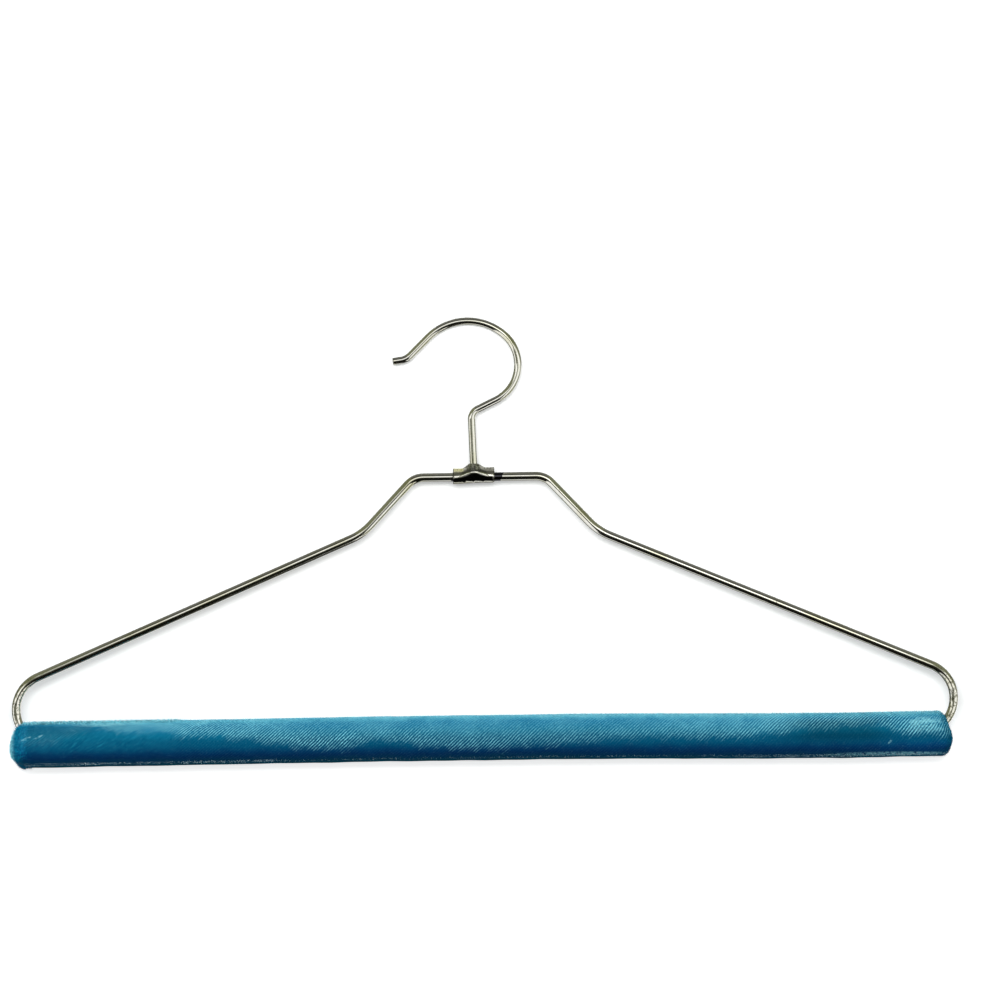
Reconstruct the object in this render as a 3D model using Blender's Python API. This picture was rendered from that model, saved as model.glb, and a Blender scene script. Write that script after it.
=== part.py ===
"""Velvet trouser hanger: a swivelling wire hook, a folded clip, a bent wire frame and a padded velvet bar.

Metres, +Z up. The hanger hangs upright in the XZ plane and its front looks along -Y.
The origin is the rod seat, the highest point inside the hook's crown, which rests on the rail.
"""

import math

import bmesh
import bpy
from mathutils import Matrix, Vector

MM = 0.001

# Gap left between two pieces that touch or slide on each other
CLEARANCE = 0.3 * MM

# Hook wire and its bends, in the order in which they are made from the shank to the tip
HOOK_WIRE_D = 3.0 * MM
SHANK_LENGTH = 24.0 * MM
FOOT_BEND_R = 4.5 * MM
FOOT_BEND_DEG = 66.2
RISE_LENGTH = 8.7 * MM
BOWL_R = 16.7 * MM
BOWL_DEG = 112.5
CROWN_R = 23.5 * MM
CROWN_DEG = 86.5
NOSE_LENGTH = 10.6 * MM
LIP_R = 7.0 * MM
LIP_DEG = 36.8
LIP_LENGTH = 3.1 * MM
HOOK_LEAN_DEG = 1.8
HOOK_END_CHAMFER = 0.4 * MM

# Upset head that keeps the hook in the clip
HEAD_D = 6.0 * MM
HEAD_THICKNESS = 1.4 * MM

# Frame wire, its neck a little to the left of the middle of its ends
FRAME_WIRE_D = 3.6 * MM
FRAME_HALF_WIDTH = 197.8 * MM
NECK_OFFSET = -1.0 * MM
NECK_HALF_WIDTH = 27.6 * MM
NECK_BEND_R = 9.0 * MM
KNEE_HALF_WIDTH = 49.7 * MM
KNEE_DROP = 23.5 * MM
KNEE_BEND_R = 25.0 * MM
SHOULDER_DROP = 86.2 * MM
SHOULDER_BEND_R = 15.0 * MM
BAR_DROP = 110.8 * MM
END_BEND_R = 14.5 * MM
END_LEG_LENGTH = 36.0 * MM
FRAME_END_CHAMFER = 0.4 * MM

# Folded steel clip that joins the hook to the frame's neck
CLIP_LENGTH = 17.4 * MM
SHEET_THICKNESS = 0.6 * MM
FLANGE_TOP = 3.5 * MM
COLLAR_TOP = 5.5 * MM
COLLAR_SHOULDER = 2.2 * MM
HUMP_LENGTH = 12.0 * MM
CLIP_OFFSET = 3.4 * MM

# Bar, from the card tube outwards
TUBE_OUTER_D = 13.3 * MM
TUBE_WALL = 0.9 * MM
PLUG_LENGTH = 34.0 * MM
PLUG_SETBACK = 0.5 * MM
PLUG_CHAMFER = 0.8 * MM
PADDING_THICKNESS = 1.2 * MM
VELVET_THICKNESS = 1.3 * MM
COVER_OVERHANG = 1.2 * MM
COVER_OFFSET = -1.8 * MM
END_DOME = 5.2 * MM
WADDING_VENT_R = 0.6 * MM

# Thread drawn round each end of the velvet, and the small eye that it leaves
THREAD_D = 0.5 * MM
THREAD_RING_R = 2.0 * MM
EYE_R = 0.6 * MM
GATHER_SETBACK = 0.1 * MM

# Facets
WIRE_BEVEL_RESOLUTION = 6
TURNED_SIDES = 32
THREAD_SIDES = 8
BEND_STEP_DEG = 8.0
SLEEVE_STEP_DEG = 18.0
HUMP_STEPS = 12
LEAF_STEPS = 5
DOME_STEPS = 7
WELD = 0.001 * MM
SHARP_ANGLE = math.radians(35.0)

# Sizes that follow from the ones above
HOOK_R = HOOK_WIRE_D / 2
FRAME_R = FRAME_WIRE_D / 2
BORE_R = FRAME_R + CLEARANCE
SHANK_HOLE_R = HOOK_R + CLEARANCE
HEAD_BOTTOM = BORE_R
HEAD_TOP = HEAD_BOTTOM + HEAD_THICKNESS
POCKET_R = HEAD_D / 2 + CLEARANCE
POCKET_TOP = HEAD_TOP + CLEARANCE
TUBE_OUTER_R = TUBE_OUTER_D / 2
TUBE_INNER_R = TUBE_OUTER_R - TUBE_WALL
PLUG_R = TUBE_INNER_R - CLEARANCE
PADDING_INNER_R = TUBE_OUTER_R + CLEARANCE
PADDING_OUTER_R = PADDING_INNER_R + PADDING_THICKNESS
COVER_INNER_R = PADDING_OUTER_R + CLEARANCE
COVER_OUTER_R = COVER_INNER_R + VELVET_THICKNESS
COVER_HALF = FRAME_HALF_WIDTH + COVER_OVERHANG
BEND_START = FRAME_HALF_WIDTH - END_BEND_R


def clear_scene():
    for thing in list(bpy.data.objects):
        bpy.data.objects.remove(thing, do_unlink=True)


def material(name, colour, roughness, metallic=0.0):
    finish = bpy.data.materials.new(name)
    finish.use_nodes = True
    shader = finish.node_tree.nodes["Principled BSDF"]
    shader.inputs["Base Color"].default_value = (*colour, 1.0)
    shader.inputs["Roughness"].default_value = roughness
    shader.inputs["Metallic"].default_value = metallic
    finish.diffuse_color = (*colour, 1.0)
    return finish


def add_object(name, mesh, parent=None, finish=None):
    thing = bpy.data.objects.new(name, mesh)
    bpy.context.collection.objects.link(thing)
    thing.parent = parent
    if finish:
        mesh.materials.append(finish)
        mesh.shade_smooth()
        mesh.set_sharp_from_angle(angle=SHARP_ANGLE)
    return thing


def axis_empty(name, location, parent=None):
    empty = bpy.data.objects.new(name, None)
    bpy.context.collection.objects.link(empty)
    empty.parent = parent
    empty.location = location
    return empty


def mesh_from(bm, name):
    bmesh.ops.remove_doubles(bm, verts=bm.verts, dist=WELD)
    bmesh.ops.recalc_face_normals(bm, faces=bm.faces)
    mesh = bpy.data.meshes.new(name)
    bm.to_mesh(mesh)
    bm.free()
    return mesh


def arc(centre, radius, start, turn, step_deg=BEND_STEP_DEG):
    """Points along an arc in a plane, its angles in radians, both ends included."""
    steps = max(2, math.ceil(abs(math.degrees(turn)) / step_deg))
    points = []
    for k in range(steps + 1):
        angle = start + turn * k / steps
        points.append(centre + radius * Vector((math.cos(angle), math.sin(angle))))
    return points


def bent_wire_path(moves, heading):
    """Centre line of a wire bent in one plane from (0, 0), and each bend's centre.

    A move is ("straight", length) or ("bend", radius, degrees), where a positive bend turns left.
    """
    here = Vector((0.0, 0.0))
    points = [here.copy()]
    centres = []
    for kind, size, *turn_deg in moves:
        if kind == "straight":
            here = here + size * Vector((math.cos(heading), math.sin(heading)))
            points.append(here)
            continue
        turn = math.radians(turn_deg[0])
        side = math.copysign(math.pi / 2, turn)
        centre = here + size * Vector((math.cos(heading + side), math.sin(heading + side)))
        points += arc(centre, size, heading - side, turn)[1:]
        centres.append(centre)
        here = points[-1]
        heading += turn
    return points, centres


def rounded_path(corners, radii):
    """A path through corners in a plane, each inner corner rounded by its radius."""
    points = [corners[0]]
    for before, corner, after, radius in zip(corners, corners[1:], corners[2:], radii):
        back = (before - corner).normalized()
        ahead = (after - corner).normalized()
        half = back.angle(ahead) / 2
        centre = corner + (back + ahead).normalized() * radius / math.sin(half)
        first = corner + back * radius / math.tan(half)
        last = corner + ahead * radius / math.tan(half)
        start = math.atan2(first.y - centre.y, first.x - centre.x)
        turn = math.atan2(last.y - centre.y, last.x - centre.x) - start
        turn = (turn + math.pi) % (2 * math.pi) - math.pi
        points += arc(centre, radius, start, turn)
    points.append(corners[-1])
    kept = [points[0]]
    for point in points[1:]:
        if (point - kept[-1]).length > WELD:
            kept.append(point)
    return kept


def wire_mesh(name, path, radii):
    """A closed round wire along a path in the XZ plane, with a radius at each point."""
    curve = bpy.data.curves.new(name + "_line", "CURVE")
    curve.dimensions = "3D"
    curve.bevel_depth = 1.0
    curve.bevel_resolution = WIRE_BEVEL_RESOLUTION
    curve.use_fill_caps = True
    spline = curve.splines.new("POLY")
    spline.points.add(len(path) - 1)
    for point, place, radius in zip(spline.points, path, radii):
        point.co = (place.x, 0.0, place.y, 1.0)
        point.radius = radius
    line = bpy.data.objects.new(name + "_line", curve)
    bpy.context.collection.objects.link(line)
    bpy.context.view_layer.update()
    tube = bpy.data.meshes.new_from_object(line.evaluated_get(bpy.context.evaluated_depsgraph_get()))
    bpy.data.objects.remove(line, do_unlink=True)
    bm = bmesh.new()
    bm.from_mesh(tube)
    bpy.data.meshes.remove(tube)
    return mesh_from(bm, name)


def turned_mesh(name, outline, sides=TURNED_SIDES):
    """A body turned about the X axis from a closed outline of (along, radius) points."""
    bm = bmesh.new()
    rim = [bm.verts.new((along, 0.0, radius)) for along, radius in outline]
    edges = [bm.edges.new((rim[k - 1], rim[k])) for k in range(len(rim))]
    bmesh.ops.spin(
        bm,
        geom=rim + edges,
        cent=(0.0, 0.0, 0.0),
        axis=(1.0, 0.0, 0.0),
        angle=2 * math.pi,
        steps=sides,
    )
    return mesh_from(bm, name)


def cutter(name, mesh, parent):
    tool = add_object(name, mesh, parent)
    tool.hide_render = True
    tool.display_type = "WIRE"
    return tool


def cut(target, *tools):
    for tool in tools:
        step = target.modifiers.new(tool.name, "BOOLEAN")
        step.operation = "DIFFERENCE"
        step.object = tool


def upright_cylinder_mesh(name, radius, low, high):
    bm = bmesh.new()
    bmesh.ops.create_cone(
        bm,
        cap_ends=True,
        segments=TURNED_SIDES,
        radius1=radius,
        radius2=radius,
        depth=high - low,
        matrix=Matrix.Translation((0.0, 0.0, (low + high) / 2)),
    )
    return mesh_from(bm, name)


def box_mesh(name, low, high):
    bm = bmesh.new()
    size = Vector(high) - Vector(low)
    place = Matrix.Translation((Vector(low) + Vector(high)) / 2)
    bmesh.ops.create_cube(bm, size=1.0, matrix=place @ Matrix.Diagonal((*size, 1.0)))
    return mesh_from(bm, name)


def hook_path():
    """The hook's centre line from the head to the tip, and its wire radius at each point.

    It is worked out from the neck wire's axis under the shank, which is also the swivel's axis.
    """
    moves = [
        ("straight", SHANK_LENGTH - HEAD_BOTTOM),
        ("bend", FOOT_BEND_R, -FOOT_BEND_DEG),
        ("straight", RISE_LENGTH),
        ("bend", BOWL_R, BOWL_DEG),
        ("bend", CROWN_R, CROWN_DEG),
        ("straight", NOSE_LENGTH),
        ("bend", LIP_R, -LIP_DEG),
        ("straight", LIP_LENGTH),
    ]
    bent, centres = bent_wire_path(moves, math.pi / 2)
    up = Vector((0.0, 1.0))
    head_step = HEAD_THICKNESS + WELD * 10
    tip_step = (bent[-1] - bent[-2]).normalized() * HOOK_END_CHAMFER
    path = [bent[0], up * HEAD_THICKNESS, up * head_step] + bent[1:-1]
    path += [bent[-1] - tip_step, bent[-1]]
    radii = [HEAD_D / 2] * 2 + [HOOK_R] * (len(path) - 3) + [HOOK_R - HOOK_END_CHAMFER]
    crown_centre = centres[2]

    # The shank leans in its hole, about the middle of the clip's collar
    pivot = up * ((POCKET_TOP + COLLAR_TOP) / 2 - HEAD_BOTTOM)
    lean = Matrix.Rotation(math.radians(HOOK_LEAN_DEG), 2)
    base = up * HEAD_BOTTOM
    path = [lean @ (point - pivot) + pivot + base for point in path]
    crown_centre = lean @ (crown_centre - pivot) + pivot + base
    return path, radii, crown_centre + up * (CROWN_R - HOOK_R)


def frame_corners(side):
    """Corners of the frame's left (-1) or right (1) half, from the neck to the end of the leg."""
    return [
        Vector((NECK_OFFSET + side * NECK_HALF_WIDTH, 0.0)),
        Vector((NECK_OFFSET + side * KNEE_HALF_WIDTH, -KNEE_DROP)),
        Vector((side * FRAME_HALF_WIDTH, -SHOULDER_DROP)),
        Vector((side * FRAME_HALF_WIDTH, -BAR_DROP)),
        Vector((side * (BEND_START - END_LEG_LENGTH), -BAR_DROP)),
    ]


def shoulder_radius(corners):
    """The shoulder's bend, held to the height that the end bend below it leaves."""
    knee, shoulder, foot = corners[1:4]
    half = (knee - shoulder).angle(foot - shoulder) / 2
    room = (shoulder - foot).length - END_BEND_R
    return min(SHOULDER_BEND_R, room * math.tan(half))


def frame_path():
    left = frame_corners(-1)
    right = frame_corners(1)
    left_radii = [NECK_BEND_R, KNEE_BEND_R, shoulder_radius(left), END_BEND_R]
    right_radii = [NECK_BEND_R, KNEE_BEND_R, shoulder_radius(right), END_BEND_R]
    return rounded_path(left[::-1] + right, left_radii[::-1] + right_radii)


def bulged_half_width(along, height, folded_half):
    """Half the clip's width in Y, where its leaves bulge from their fold round the hook's head."""
    side = (POCKET_R + SHEET_THICKNESS) * max(0.0, 1.0 - (2 * along / HUMP_LENGTH) ** 2)
    if height > POCKET_TOP:
        collar_r = SHANK_HOLE_R + SHEET_THICKNESS
        collar = math.sqrt(max(0.0, collar_r**2 - along**2))
        side += (collar - side) * (height - POCKET_TOP) / (COLLAR_TOP - POCKET_TOP)
    full_from = FRAME_R - SHEET_THICKNESS
    rise = min(1.0, max(0.0, (height - full_from + BORE_R) / BORE_R))
    swell = rise * rise * (3.0 - 2.0 * rise)
    return folded_half + max(0.0, side - folded_half) * swell


def clip_section(along):
    """Outline of the folded clip across the neck wire, as (y, z) points."""
    sleeve_r = BORE_R + SHEET_THICKNESS
    flange_half = SHEET_THICKNESS + CLEARANCE / 2
    collar_r = SHANK_HOLE_R + SHEET_THICKNESS
    shoulder = (collar_r + COLLAR_SHOULDER - abs(along)) / COLLAR_SHOULDER
    top = FLANGE_TOP + (COLLAR_TOP - FLANGE_TOP) * min(1.0, max(0.0, shoulder))
    join = math.acos(flange_half / sleeve_r)
    round_side = arc(Vector((0.0, 0.0)), sleeve_r, -math.pi / 2, join + math.pi / 2, SLEEVE_STEP_DEG)
    heights = [point.y for point in round_side]
    fold = heights[-1]
    heights += [fold + (top - fold) * (k + 1) / LEAF_STEPS for k in range(LEAF_STEPS)]
    side = []
    for height in heights:
        folded_half = math.sqrt(max(0.0, sleeve_r**2 - height**2))
        if height >= 0.0:
            folded_half = max(folded_half, flange_half)
        side.append((bulged_half_width(along, height, folded_half), height))
    return [(-half, height) for half, height in reversed(side)] + side[1:]


def clip_body_mesh():
    half = CLIP_LENGTH / 2
    hump = HUMP_LENGTH / 2
    stations = [-half] + [hump * (2 * k / HUMP_STEPS - 1) for k in range(HUMP_STEPS + 1)] + [half]
    bm = bmesh.new()
    loops = []
    for along in stations:
        loops.append([bm.verts.new((along, y, z)) for y, z in clip_section(along)])
    for first, second in zip(loops, loops[1:]):
        for k in range(len(first)):
            bm.faces.new((first[k - 1], first[k], second[k], second[k - 1]))
    bm.faces.new(loops[0])
    bm.faces.new(loops[-1])
    return mesh_from(bm, "neck_clip")


def domed_end(half_length, radius, dome, flat_r):
    """Outline of a soft right-hand end: an elliptic dome from the straight side in to a flat."""
    points = []
    for k in range(DOME_STEPS + 1):
        angle = math.pi / 2 * k / DOME_STEPS
        along = half_length - dome + dome * math.sin(angle)
        points.append((along, flat_r + (radius - flat_r) * math.cos(angle)))
    return points


def both_ends(right):
    """A closed outline from its right half, which runs from the outer side to the inner one."""
    return right + [(-along, radius) for along, radius in reversed(right)]


def cover_outline():
    groove = THREAD_D / 2 + CLEARANCE
    rim = THREAD_RING_R + groove
    floor = COVER_HALF - THREAD_D - CLEARANCE
    inside = COVER_HALF - VELVET_THICKNESS
    outer = domed_end(COVER_HALF, COVER_OUTER_R, END_DOME, rim)
    gather = [
        (floor, rim),
        (floor, THREAD_RING_R - groove),
        (COVER_HALF - GATHER_SETBACK, THREAD_RING_R - groove),
        (COVER_HALF - GATHER_SETBACK, EYE_R),
    ]
    inner = domed_end(inside, COVER_INNER_R, END_DOME - VELVET_THICKNESS, rim) + [(inside, EYE_R)]
    return both_ends(outer + gather + inner[::-1])


def padding_outline(tube_half):
    set_in = VELVET_THICKNESS + CLEARANCE
    flat_r = THREAD_RING_R + THREAD_D / 2 + CLEARANCE
    outer = domed_end(COVER_HALF - set_in, PADDING_OUTER_R, END_DOME - set_in, flat_r)
    tube_stop = tube_half + abs(COVER_OFFSET) + CLEARANCE
    inner = [(tube_stop, WADDING_VENT_R), (tube_stop, PADDING_INNER_R)]
    return both_ends(outer + [(COVER_HALF - set_in, WADDING_VENT_R)] + inner)


def tube_half_length():
    """The tube stops where the wire's bend comes within the clearance of its wall."""
    inside_bend = END_BEND_R - BORE_R
    swing = math.acos((END_BEND_R - TUBE_INNER_R) / inside_bend)
    return BEND_START + inside_bend * math.sin(swing)


def plug_outline(side):
    outer = BEND_START - PLUG_SETBACK
    inner = outer - PLUG_LENGTH
    outline = [
        (outer, BORE_R + PLUG_CHAMFER),
        (outer, PLUG_R - PLUG_CHAMFER),
        (outer - PLUG_CHAMFER, PLUG_R),
        (inner + PLUG_CHAMFER, PLUG_R),
        (inner, PLUG_R - PLUG_CHAMFER),
        (inner, BORE_R),
        (outer - PLUG_CHAMFER, BORE_R),
    ]
    return [(side * along, radius) for along, radius in outline]


def thread_outline(side):
    along = side * (COVER_HALF - THREAD_D / 2)
    ring = arc(Vector((along, THREAD_RING_R)), THREAD_D / 2, 0.0, 2 * math.pi, 360.0 / THREAD_SIDES)
    return [(point.x, point.y) for point in ring[:-1]]


def build():
    clear_scene()
    nickel = material("nickel_plate", (0.62, 0.60, 0.54), 0.20, 1.0)
    clip_steel = material("clip_steel", (0.34, 0.33, 0.31), 0.32, 1.0)
    card = material("card", (0.46, 0.34, 0.21), 0.90)
    wood = material("turned_wood", (0.62, 0.43, 0.24), 0.65)
    wadding = material("cotton_wadding", (0.80, 0.77, 0.70), 1.0)
    velvet = material("velvet", (0.02, 0.19, 0.29), 0.90)
    thread = material("thread", (0.03, 0.16, 0.24), 0.80)

    path, radii, seat = hook_path()
    path = [point - seat for point in path]
    add_object("hook", wire_mesh("hook", path, radii), None, nickel)

    swivel = axis_empty("swivel_axis", (-seat.x, 0.0, -seat.y))
    frame = axis_empty("frame_centre", (CLIP_OFFSET, 0.0, 0.0), swivel)
    bar = axis_empty("bar_axis", (0.0, 0.0, -BAR_DROP), frame)
    sleeve = axis_empty("sleeve_centre", (COVER_OFFSET, 0.0, 0.0), bar)

    path = frame_path()
    chamfered = list(path)
    chamfered.insert(1, path[0] + (path[1] - path[0]).normalized() * FRAME_END_CHAMFER)
    chamfered.insert(-1, path[-1] + (path[-2] - path[-1]).normalized() * FRAME_END_CHAMFER)
    end_r = FRAME_R - FRAME_END_CHAMFER
    radii = [end_r] + [FRAME_R] * len(path) + [end_r]
    add_object("frame_wire", wire_mesh("frame_wire", chamfered, radii), frame, nickel)
    passage = cutter("wire_passage", wire_mesh("wire_passage", path, [BORE_R] * len(path)), frame)

    clip = add_object("neck_clip", clip_body_mesh(), swivel, clip_steel)
    over = COLLAR_TOP + SHEET_THICKNESS
    past = CLIP_LENGTH / 2 + SHEET_THICKNESS
    slot_low = (-past, -CLEARANCE / 2, 0.0)
    slot_high = (past, CLEARANCE / 2, over)
    pocket = upright_cylinder_mesh("head_pocket", POCKET_R, FRAME_R, POCKET_TOP)
    hole = upright_cylinder_mesh("shank_hole", SHANK_HOLE_R, FRAME_R, over)
    cut(
        clip,
        passage,
        cutter("head_pocket", pocket, swivel),
        cutter("shank_hole", hole, swivel),
        cutter("leaf_slot", box_mesh("leaf_slot", slot_low, slot_high), swivel),
    )

    tube_half = tube_half_length()
    tube_outline = [
        (-tube_half, TUBE_OUTER_R),
        (tube_half, TUBE_OUTER_R),
        (tube_half, TUBE_INNER_R),
        (-tube_half, TUBE_INNER_R),
    ]
    add_object("core_tube", turned_mesh("core_tube", tube_outline), bar, card)
    padding = add_object("padding", turned_mesh("padding", padding_outline(tube_half)), sleeve, wadding)
    cover = add_object("velvet_cover", turned_mesh("velvet_cover", cover_outline()), sleeve, velvet)
    cut(padding, passage)
    cut(cover, passage)
    for side, word in ((-1, "left"), (1, "right")):
        plug = turned_mesh(f"end_plug_{word}", plug_outline(side))
        add_object(f"end_plug_{word}", plug, bar, wood)
        ring = turned_mesh(f"closing_thread_{word}", thread_outline(side))
        add_object(f"closing_thread_{word}", ring, sleeve, thread)


build()
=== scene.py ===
# %% [markdown]
# # A velvet trouser hanger
#
# This lesson dresses a trouser hanger: a nickel-plated swivel hook, a folded steel clip, a bent wire frame
# and a padded bar in ribbed blue velvet. The solids are already made, so the first step loads them as a
# fixed frame. Everything new is drawn in the same place and in metres, with +Z up and the front looking
# along -Y.

# %% Load the solids
import math

import bpy
import numpy as np
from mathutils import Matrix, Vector


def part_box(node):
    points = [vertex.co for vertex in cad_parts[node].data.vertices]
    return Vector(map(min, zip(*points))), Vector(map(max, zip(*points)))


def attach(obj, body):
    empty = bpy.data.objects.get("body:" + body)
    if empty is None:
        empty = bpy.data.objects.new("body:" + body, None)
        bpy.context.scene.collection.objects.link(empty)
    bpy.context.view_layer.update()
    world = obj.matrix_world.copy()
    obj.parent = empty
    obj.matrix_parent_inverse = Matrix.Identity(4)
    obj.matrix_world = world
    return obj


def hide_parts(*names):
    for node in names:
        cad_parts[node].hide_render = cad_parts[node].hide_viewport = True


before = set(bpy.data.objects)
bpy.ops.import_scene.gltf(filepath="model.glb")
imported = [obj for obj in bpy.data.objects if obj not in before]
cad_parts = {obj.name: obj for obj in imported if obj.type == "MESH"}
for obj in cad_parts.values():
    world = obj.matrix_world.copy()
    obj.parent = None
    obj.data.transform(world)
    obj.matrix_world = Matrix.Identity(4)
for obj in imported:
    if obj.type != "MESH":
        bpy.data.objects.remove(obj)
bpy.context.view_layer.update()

MM = 0.001
print("solids loaded:", sorted(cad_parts))

# %% [markdown]
# ## Where things are
#
# The bar, the clip and the wires must sit on the solids, so their places are read from the solids' own
# boxes. The few sizes that a box can't give, such as a wire's radius, are written here once.

# %% Read the places
clip_low, clip_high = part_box("neck_clip")
wire_low, wire_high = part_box("frame_wire")
cover_low, cover_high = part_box("velvet_cover")
hook_low, hook_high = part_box("hook")

FRAME_WIRE_R = 1.8 * MM
HOOK_WIRE_R = 1.5 * MM
swivel_x = (clip_low.x + clip_high.x) / 2
frame_x = (wire_low.x + wire_high.x) / 2
neck_z = wire_high.z - FRAME_WIRE_R
bar_x = (cover_low.x + cover_high.x) / 2
bar_z = (cover_low.z + cover_high.z) / 2
bar_half = (cover_high.x - cover_low.x) / 2
bar_r = (cover_high.z - cover_low.z) / 2
left_tip = bar_x - bar_half
print("bar", round(2 * bar_half / MM, 1), "mm long, axis at z", round(bar_z / MM, 1), "mm")

# %% [markdown]
# ## Helpers
#
# These small helpers are used all the way through. They start a piece with nothing else selected, name it
# and settle it at the origin, read or write all of its points at once, close its mesh and put a finish on
# it.


# %% Helpers for pieces and points
def start_piece():
    bpy.ops.object.select_all(action="DESELECT")


def settle(name):
    piece = bpy.context.active_object
    piece.name = piece.data.name = name
    bpy.ops.object.transform_apply(location=True, rotation=True, scale=True)
    return piece


def read_points(piece):
    flat = np.empty(len(piece.data.vertices) * 3)
    piece.data.vertices.foreach_get("co", flat)
    return flat.reshape(-1, 3)


def write_points(piece, points):
    piece.data.vertices.foreach_set("co", np.ascontiguousarray(points).ravel())
    piece.data.update()


def flat_sheet(name, columns, rows):
    start_piece()
    bpy.ops.mesh.primitive_grid_add(x_subdivisions=columns, y_subdivisions=rows, size=2.0)
    sheet = settle(name)
    return sheet, read_points(sheet)


def close_mesh(weld, hole_sides=0):
    bpy.ops.object.mode_set(mode="EDIT")
    bpy.ops.mesh.select_all(action="SELECT")
    bpy.ops.mesh.remove_doubles(threshold=weld)
    if hole_sides:
        bpy.ops.mesh.fill_holes(sides=hole_sides)
    bpy.ops.mesh.normals_make_consistent(inside=False)
    bpy.ops.object.mode_set(mode="OBJECT")


def smooth(piece, angle=35.0):
    start_piece()
    bpy.context.view_layer.objects.active = piece
    piece.select_set(True)
    bpy.ops.object.shade_smooth_by_angle(angle=math.radians(angle))


def dress(piece, finish):
    piece.data.materials.clear()
    piece.data.materials.append(finish)
    print(piece.name, "is finished in", finish.name)


def triangles(piece):
    return sum(len(face.vertices) - 2 for face in piece.data.polygons)


def ease(value):
    value = np.clip(value, 0.0, 1.0)
    return value * value * (3 - 2 * value)


# %% [markdown]
# ## Helpers for materials
#
# Every finish is built from nodes. One tree is worked on at a time, so it is opened first, and each helper
# adds a node to the open tree and gives back its output. A value may be a number, a colour or another
# node's output.


# %% Helpers for node trees
def open_tree(tree):
    global open_nodes, open_links, shader
    open_nodes, open_links = tree.nodes, tree.links
    shader = open_nodes.get("Principled BSDF")


def open_finish(name):
    finish = bpy.data.materials.new(name)
    finish.use_nodes = True
    open_tree(finish.node_tree)
    return finish


def fill(socket, value):
    if isinstance(value, bpy.types.NodeSocket):
        open_links.new(value, socket)
    elif socket.type == "RGBA":
        socket.default_value = (*value, 1.0)
    else:
        socket.default_value = value


def add(kind, values=None, **settings):
    node = open_nodes.new("ShaderNode" + kind)
    for key, value in settings.items():
        setattr(node, key, value)
    for name, value in (values or {}).items():
        fill(node.inputs[name], value)
    return node.outputs


def set_shader(values):
    for name, value in values.items():
        fill(shader.inputs[name], value)


def object_place():
    return add("TexCoord")["Object"]


def axes(vector):
    return add("SeparateXYZ", {0: vector})


def stretched(vector, scale):
    return add("Mapping", {"Vector": vector, "Scale": scale})[0]


# %% Helpers for sums
def maths(operation, *values, clamp=False):
    return add("Math", dict(enumerate(values)), operation=operation, use_clamp=clamp)[0]


def times(value, *others, clamp=False):
    for other in others[:-1]:
        value = maths("MULTIPLY", value, other)
    return maths("MULTIPLY", value, others[-1], clamp=clamp)


def plus(value, *others):
    for other in others:
        value = maths("ADD", value, other)
    return value


def minus(first, second):
    return maths("SUBTRACT", first, second)


def scaled(value, factor, offset):
    return maths("MULTIPLY_ADD", value, factor, offset)


def size_of(value):
    return maths("ABSOLUTE", value)


def between(value, low, high, to_low, to_high, curve="LINEAR"):
    values = {"Value": value, "From Min": low, "From Max": high, "To Min": to_low, "To Max": to_high}
    return add("MapRange", values, interpolation_type=curve)[0]


def step(value, low, high):
    return between(value, low, high, 0.0, 1.0, "SMOOTHSTEP")


def where(*ranges):
    steps = [step(*limits) for limits in ranges]
    return times(*steps)


# %% Helpers for patterns and colours
def noise(vector, scale, detail=2.0, roughness=0.5):
    values = {"Vector": vector, "Scale": scale, "Detail": detail, "Roughness": roughness}
    return add("TexNoise", values)["Fac"]


def wander(amount, *pattern):
    return scaled(noise(*pattern), amount, -amount / 2)


def patches(low, high, *pattern):
    return step(noise(*pattern), low, high)


def mix(amount, first, second):
    return add("Mix", {0: amount, 6: first, 7: second}, data_type="RGBA")[2]


def layered(colour, layers):
    for amount, layer in layers:
        colour = mix(amount, colour, layer)
    return colour


def brightened(colour, level):
    return add("VectorMath", {0: colour, "Scale": level}, operation="SCALE")[0]


def ramp(value, stops, curve="LINEAR"):
    output = add("ValToRGB", {0: value})[0]
    band = output.node.color_ramp
    band.interpolation = curve
    for spot, colour in stops[1:-1]:
        band.elements.new(spot)
    for stop, (spot, colour) in zip(band.elements, stops):
        stop.position = spot
        stop.color = (*colour, 1.0)
    return output


def set_bump(height, strength, distance):
    values = {"Strength": strength, "Distance": distance, "Height": height}
    set_shader({"Normal": add("Bump", values)[0]})


# %% [markdown]
# ## The studio
#
# The hanger lies against a white board, as things are photographed for a shop. The board leans so that it
# touches the back of the bar and the back of the hook, and it keeps the hanger's soft shadow. To a camera
# ray the board also glows a little, which brings it up to white without putting more light on the hanger.
# The board shows only when it is looked at nearly straight on. From the side and from behind it lets the
# view through, so all of the hanger can be seen there, also where the frame has turned through the board.

# %% Make the white board
WHITE = (1.0, 1.0, 1.0)
board_lean = math.atan2(bar_r - HOOK_WIRE_R, hook_high.z - HOOK_WIRE_R - bar_z)
board_place = (bar_x, bar_r + 0.1 * MM, bar_z)
board_turn = (math.pi / 2 + board_lean, 0.0, 0.0)
bpy.ops.mesh.primitive_plane_add(size=6.0, location=board_place, rotation=board_turn)
board = settle("white_board")
print("board leans", round(math.degrees(board_lean), 2), "degrees")

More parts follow.
